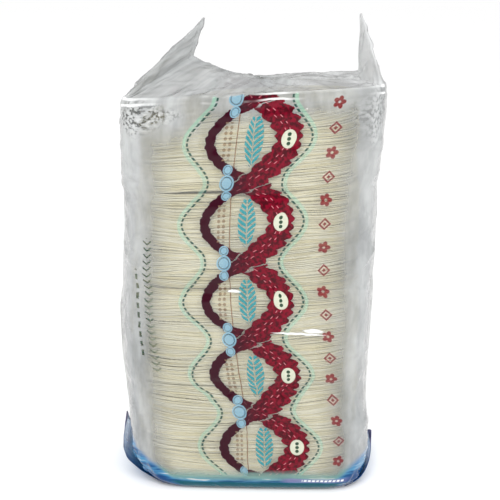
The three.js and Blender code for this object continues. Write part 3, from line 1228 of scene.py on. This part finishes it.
class Clouding:
    """How the film clouds what lies behind it: its haze, its grey with painted sheen and light, and
    painted highlights and crumple shade on it.
    """

    def __init__(self, shader, u, v):
        loose, crumple_shading = shader.stored("loose"), shader.stored("crumple_shading")
        self.shader = shader
        self.u, self.v = u, v
        self.sheen = self.stretched_noise(110, 32, 0, 3)
        self.broad = self.stretched_noise(34, 14, 3, 2)
        self.off_seam = abs(u).step(HALF_GIRTH - 10 * MM, HALF_GIRTH - 60 * MM)
        self.set_tone()
        ridges = abs(self.stretched_noise(70, 20, 7, 2) - 0.5)
        level = self.sheen.step(0.3, 0.7) * 0.2 + self.broad.step(0.3, 0.7) * 0.2 + 0.52
        self.haze = (loose * level + HAZE_ON_FRONT).least(MOST_COVER)
        self.relief = self.sheen * loose * 0.8 + ridges * loose * 1.4
        folds = self.stretched_noise(420, 360, 5, 3)
        # Painted shade and painted highlights of the crumples, along thin lines of noise.
        self.dark = folds.step(0.51, 0.41) * crumple_shading
        self.bright = folds.step(0.55, 0.65) * crumple_shading
        # Painted highlights along the shoulder and on creases of the front.
        self.lines = self.shoulder_highlights()
        for mark in CREASE_HIGHLIGHTS:
            self.lines = self.lines.most(self.crease_highlight(*mark))

    def stretched_noise(self, across, up, start, detail):
        place = self.shader.join(self.u * across, self.v * up, start)
        return self.shader.noise(place, 1, detail)

    def set_tone(self):
        """Grey of the milky film, mottled by painted sheen. Painted light makes the whole tent
        lighter, most on the right, and the wall at the upper left too.

        `off_seam` takes both away towards the back's middle, where left and right meet.
        """
        in_tent = self.v.step(SHOULDER_HEIGHT - 2 * MM, SHOULDER_HEIGHT + 2 * MM)
        to_right = self.u.step(0, 0.05) * self.off_seam
        to_left = self.u.step(-0.05, -0.08) * self.off_seam
        upper_left = to_left * self.v.step(0.23, 0.26) * (1 - in_tent)
        # Painted light on the tent, more on its right, and on the wall at the upper left.
        painted_light = (to_right * 0.5 + 0.14) * in_tent + upper_left * 0.4
        # Painted sheen and shade: the milky grey mottles along the stretched noises.
        mottle = self.sheen.step(0.25, 0.75) * 0.4 + self.broad.step(0.65, 0.35) * 0.4
        self.tone = mottle + 0.1 + painted_light
        # More painted light: the right of the tent is lifted towards white.
        self.white = to_right * in_tent * 0.25

    def shoulder_highlights(self):
        """Two painted highlights along the shoulder's fold: whole on the left, broken elsewhere."""
        patches = self.shader.noise(self.shader.join(self.u * 28, 0, 9), 1, 2).step(0.48, 0.64)
        height = self.v * 1000 - 1000 * SHOULDER_HEIGHT
        on_fold = abs(height).step(1.1, 0.5) * 0.6
        below = abs(height + 2 + self.broad * 4).step(1, 0.4) * 0.8
        whole = self.u.step(-0.06, -0.08) * self.off_seam
        return (on_fold + below).least(1) * patches.most(whole)

    # A painted highlight of one crease: a narrow white lens.
    def crease_highlight(self, across, up, length, width):
        from_middle = self.u * 1000 - across
        off_line = (self.v * 1000 - up + from_middle * CREASE_SLOPE + self.sheen * 2 - 1) / width
        return ((from_middle / length) ** 2 + off_line**2).step(1, 0.3) * 0.8


# %% [markdown]
# A garland is a band round a sine curve. Its distance is divided by the curve's slant, so that it
# keeps its width where it leans. At each crossing one garland passes over the other, with a thin
# gap beside it. Both are slim and plain on the left, heavy, scalloped and crimson on the right.

# %% Garlands and border


def lay_garlands(ink, x, y, worn):
    phase = (y - FIRST_CROSSING) * (math.pi / TWIST)
    swing = phase.sin() * GARLAND_REACH
    steepness = phase.cos() * (GARLAND_REACH * math.pi / TWIST)
    slant = (steepness * steepness + 1).sqrt()
    to_right = abs(x - swing) / slant
    to_left = abs(x + swing) / slant
    nearer = to_right.least(to_left)
    heavy = x.step(-16, 18)
    scallop = abs((y * (math.pi / 6.5)).sin()) * 1.8
    half = heavy * 4.2 + scallop * (heavy + 0.35) + 3.0 + worn * 2.2
    on_top = phase.cos().step(-0.05, 0.05)
    upper = to_right * on_top + to_left * (1 - on_top)
    crossing = abs(phase.sin()).step(0.42, 0.3)
    gap = (upper - half).step(0.1, 0.4) * (upper - half).step(1.5, 1.2) * crossing
    inside = (nearer - half).step(0.25, -0.25)
    full = ink.shader.blend((worn + 0.5).step(0.35, 0.65), DEEP_CRIMSON, CRIMSON)
    ink.lay(inside * (1 - gap), ink.shader.blend(heavy, PLUM, full), 1.0)
    vein = (abs(nearer - 1.4) - 0.22).step(0.2, -0.2) * heavy
    dashes = ((y % 4.6) - 1.6).step(0.2, -0.2)
    ink.lay(vein * dashes * inside, ROSE, 0.9)


def lay_border(ink, x, y):
    """A mint wave with a dashed green line along its inner edge, on both sides."""
    phase = (y - FIRST_CROSSING) * (2 * math.pi / TWIST)
    edge = 34.5 - phase.cos() * 8.5
    beyond = (abs(x) - edge) / ((phase.sin() * 0.9) ** 2 + 1).sqrt()
    ink.lay(abs(beyond - 2.2).step(1.8, 0.6) * 0.75, MINT, 0.5)
    dots = ((y % 3.4) - 2.3).step(0.2, -0.2)
    ink.lay(abs(beyond).step(0.9, 0.5) * dots, BOTTLE_GREEN, 0.9)


# %% [markdown]
# Each small motif first measures how far a place is from the motif's own middle, with a remainder
# that makes it repeat up the column. A smooth step then turns that distance into a mask.

# %% Leaves, beads and blossoms
# How far from the column's middle each one stands, in mm.
LEAF_PLACE, STEM_PLACE, BEAN_PLACES = 3, -9, (-13.5, -17.0)
BEAD_PLACE, BLOSSOM_PLACE = -13, 58
HERRING_PLACE, DASH_PLACE = -68, -77
BLOSSOM_STEP = 17.0


def lay_leaf(ink, x, y):
    """In each eye: a teal leaf with slanting leaflets, a stem, two rows of beans and a clasp."""
    up = ((y - FIRST_CROSSING) % TWIST) - TWIST / 2
    across = abs(x - LEAF_PLACE)
    outline = ((up / 18) ** 2 + (across / 6.6) ** 2).step(1.05, 0.92)
    leaflets = ((up - across * 0.9) % 4.2 - 2.7).step(0.25, -0.25)
    ink.lay(outline * leaflets * across.step(0.3, 0.7), TEAL, 0.85)
    stem = abs(x - STEM_PLACE).step(0.5, 0.25) * abs(up).step(19, 18)
    ink.lay(stem, BROWN, 0.8)
    for place in BEAN_PLACES:
        bean = ((x - place) / 1.15) ** 2 + (((up % 3.9) - 1.95) / 1.35) ** 2
        ink.lay(bean.step(1.1, 0.8) * abs(up).step(14, 13), BROWN, 0.6)
    clasp = ((x - GARLAND_REACH) / 5.2) ** 2 + (up / 6.5) ** 2
    ink.lay(clasp.step(1.08, 0.92), IVORY, 0.6)
    for height in (-3.2, 0, 3.2):
        seed = (x - GARLAND_REACH) ** 2 + (up - height) ** 2
        ink.lay(seed.step(2.4, 1.4), PINE, 0.9)


def lay_beads(ink, x, y):
    """Pale blue beads over each crossing, left of the middle."""
    up = ((y - FIRST_CROSSING + TWIST / 2) % TWIST) - TWIST / 2
    for height, size in ((-9.5, 3.4), (0, 5.2), (9.5, 3.4)):
        bead = (((x - BEAD_PLACE) / size) ** 2 + ((up - height) / (size * 1.15)) ** 2).sqrt()
        ink.lay(bead.step(1.05, 0.92), PALE_BLUE, 0.75)
        ink.lay(abs(bead - 0.72).step(0.12, 0.04), SLATE, 0.6)


def lay_blossoms(ink, x, y):
    """Crimson blossoms and lozenges down the right of the garlands."""
    side = x - BLOSSOM_PLACE
    up = (y % BLOSSOM_STEP) - BLOSSOM_STEP / 2
    odd = ((y % (2 * BLOSSOM_STEP)) - BLOSSOM_STEP).step(-0.01, 0.01)
    reach = (side * side + up * up).sqrt()
    petals = abs((up.angle_to(side) * 2.5).cos()) * 1.9 + 2.7
    blossom = (reach - petals).step(0.3, -0.3) * reach.step(0.8, 1.2)
    lozenge = abs(side) * 0.9 + abs(up) * 0.9
    fret = abs(lozenge - 3.4).step(0.95, 0.55).most(lozenge.step(1.5, 1.1))
    ink.lay(blossom * odd + fret * (1 - odd), CRIMSON, 0.85)


def lay_ticks(ink, x, y):
    """A fine herringbone and a row of dashes near the left edge."""
    away = abs(x - HERRING_PLACE)
    herring = ((y - away * 0.8) % 5.0 - 1.4).step(0.3, -0.3) * away.step(3.2, 2.8)
    ink.lay(herring * abs(y - 152).step(54, 53), BOTTLE_GREEN, 0.5)
    dashes = ((y % 7.5) - 4.5).step(0.3, -0.3) * abs(x - DASH_PLACE).step(1.3, 0.9)
    ink.lay(dashes * abs(y - 146).step(36, 35), BOTTLE_GREEN, 0.45)


# %% [markdown]
# The foot is printed blue in bands that run level round the bag. The folds at the two bottom
# corners carry it up the sides in a triangle, where it is darker and streaked. Painted highlights
# glint white along its brightest streaks.

# %% The blue foot
LEFT_FOLD, RIGHT_FOLD = (64, 46), (60, 33)  # half width and height of each triangle, in mm


def lay_foot(ink, x, y, across, streaks):
    side = PRINT_REPEAT / 2  # from the middle of the front to the middle of a side
    left = (1 - abs(across + side) / LEFT_FOLD[0]) * LEFT_FOLD[1]
    right = (1 - abs(across - side) / RIGHT_FOLD[0]) * RIGHT_FOLD[1]
    fold = left.most(right).most(0)
    level = y + streaks * 6 - fold
    corner = fold.step(1, 9)
    streaky = ink.shader.blend(streaks.step(-0.08, 0.08), DARK_SKY, SKY_BLUE)
    wash = ink.shader.blend(corner, PALE_TEAL, FOOT_BLUE)
    ink.lay(level.step(19, 11), wash, corner * 0.12 + 0.6)
    ink.lay((level - corner * 3).step(13, 7) * 0.95, streaky, 0.92)
    # Painted highlights: white glints along the brightest streaks of the band.
    ink.lay(streaks.step(0.09, 0.15) * level.step(14, 9), WHITE_INK_AND_GLINT, 0.5)
    ink.lay(abs(y + streaks * 3 - 9).step(2.4, 1.0) * abs(x - 46).step(34, 24) * 0.7, LILAC, 0.8)
    ink.lay((y + streaks * 3 - 6).step(2.2, 0.4) * (1 - corner), DEEP_TEAL, 1.0)
    ink.lay((y - 10).step(4, 0) * corner, DEEP_BLUE, 0.95)
    ticks = ((x % 3.4) - 2.2).step(0.3, -0.3) * abs(x - 50).step(18, 17.5)
    ink.lay(ticks * abs(y - 9).step(0.9, 0.5), WHITE_INK_AND_GLINT, 0.75)


# %% [markdown]
# The film is a clear surface, covered by print, milkiness and painted shade and highlights as far
# as `cover` says. A gloss lies over both and grows where the film turns away from the eye. Glass
# would bend what is seen through it, but a film this thin doesn't, so a plain transparent surface
# is right and quicker.

# %% Film finish
CRIMP_START = 1000 * (SHOULDER_HEIGHT + SEAL_START * TENT_FILM)
CRIMP_PITCH, CRIMP_DEPTH = 1.4, 0.2
FACE_ON_GLOSS = 0.018
CLEAR_FILM = (0.902, 0.905, 0.905, 1)  # what one pass through the film leaves of the light


def film_finish():
    shader = Shader("clear_film")
    u, v = shader.sheet()
    across, y = u * 1000, v * 1000
    sway = ((y - FURTHEST_RIGHT) * (2 * math.pi / SWAY_LENGTH)).cos() * SWAY
    middle = sway + COLUMN_PLACE
    x = ((across - middle + PRINT_REPEAT / 2) % PRINT_REPEAT) - PRINT_REPEAT / 2
    worn = shader.noise(shader.place(), 420, 2) - 0.5
    streaks = shader.noise(shader.join(u * 26, v * 280, 0), 1, 3) - 0.5

    cloud = Clouding(shader, u, v)
    # The milky grey, with its painted sheen and its painted light.
    grey = shader.blend(cloud.tone, FILM_SHADE, FILM_GLINT)
    # Painted light: the right of the tent is lifted towards the highlight white.
    grey = shader.blend(cloud.white, grey, PAINTED_HIGHLIGHT_WHITE)
    ink = Print(shader, grey, cloud.haze, y.step(PRINT_TOP + 1, PRINT_TOP))
    lay_border(ink, x, y)
    lay_garlands(ink, x, y, worn)
    for lay in (lay_leaf, lay_beads, lay_blossoms, lay_ticks):
        lay(ink, x, y)
    lay_foot(ink, x, y, across, streaks)
    ink.printed = 1.0  # what follows lies on bare film too
    # Painted shade and highlights of the crumples, then painted highlights along the shoulder and
    # on creases of the front.
    ink.lay(cloud.dark, PAINTED_CRUMPLE_SHADE, 0.5)
    ink.lay(cloud.bright * 0.4, PAINTED_HIGHLIGHT_WHITE, 0.5)
    ink.lay(cloud.lines, PAINTED_HIGHLIGHT_WHITE, 0.9)

    crimps = (y * (2 * math.pi / CRIMP_PITCH)).sin() * (y - CRIMP_START).step(0, 0.5)
    relief = cloud.relief + crimps * CRIMP_DEPTH
    bump = {"Height": relief, "Strength": 0.8, "Distance": 1.6 * MM}
    normal = shader.node("ShaderNodeBump", {}, bump, "Normal")
    clear = shader.surface("Transparent", {"Color": CLEAR_FILM})
    sockets = {"Base Color": ink.colour, "Roughness": 0.5, "Specular IOR Level": 0.0}
    body = shader.mix(ink.cover, clear, shader.surface("Principled", sockets))
    gloss = shader.surface("Glossy", {"Roughness": 0.1, "Normal": normal})
    facing = shader.node("ShaderNodeLayerWeight", {}, {"Blend": 0.5, "Normal": normal}, "Facing")
    mirror = facing**3 * (1 - FACE_ON_GLOSS) + FACE_ON_GLOSS
    return shader.finish(shader.mix(mirror, body, gloss))


film.data.materials.append(film_finish())
print("film finish:", len(film.data.materials[0].node_tree.nodes), "nodes")

# %% [markdown]
# A flap is the same film, folded over itself. Its blue is thin in the middle, darker along its
# folds and low down, and violet at the tip.

# %% Finish of the flaps
FLAP_PALE, FLAP_BRIGHT, FLAP_LOW = srgb(84, 142, 196), srgb(164, 200, 232), srgb(8, 88, 152)
FLAP_VIOLET = srgb(66, 50, 122)
CLEAR_BLUE = (0.86, 0.9, 0.94, 1)


def flap_finish():
    shader = Shader("blue_film")
    across, up = shader.sheet()
    streaks = shader.noise(shader.place(), 80, 4)
    to_edge = abs(across - 0.5) * 2
    folded = to_edge.step(0.8, 0.98).most(up.step(0.16, 0.04))
    low = up.step(0.6, 0.2)
    tip = up.step(0.72, 0.84)
    thin = shader.blend(streaks.step(0.35, 0.7), FLAP_PALE, FLAP_BRIGHT)
    strong = shader.blend(streaks.step(0.45, 0.6), FLAP_LOW, SKY_BLUE)
    tint = shader.blend(low, thin, strong)
    tint = shader.blend(folded, tint, DEEP_BLUE)
    tint = shader.blend(tip, tint, FLAP_VIOLET)
    clear = shader.surface("Transparent", {"Color": CLEAR_BLUE})
    sockets = {"Base Color": tint, "Roughness": 0.4, "Specular IOR Level": 0.12}
    cover = (folded * 0.6 + low * 0.45 + tip * 0.5 + streaks * 0.2 + 0.24).least(MOST_COVER)
    return shader.finish(shader.mix(cover, clear, shader.surface("Principled", sockets)))


blue_film = flap_finish()
for piece in flaps:
    piece.data.materials.append(blue_film)
print("flap finish:", len(blue_film.node_tree.nodes), "nodes")

# %% [markdown]
# ## Handing over
#
# Nothing on the pack moves by itself, so every piece rides on its one body. The film stands for the
# CAD solid, which is hidden.

# %% Hand the pieces over
for piece in cores + strands:
    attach(piece, "root")
for piece in [film] + flaps:
    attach(piece, "root")
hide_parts("vermicelli_bag")
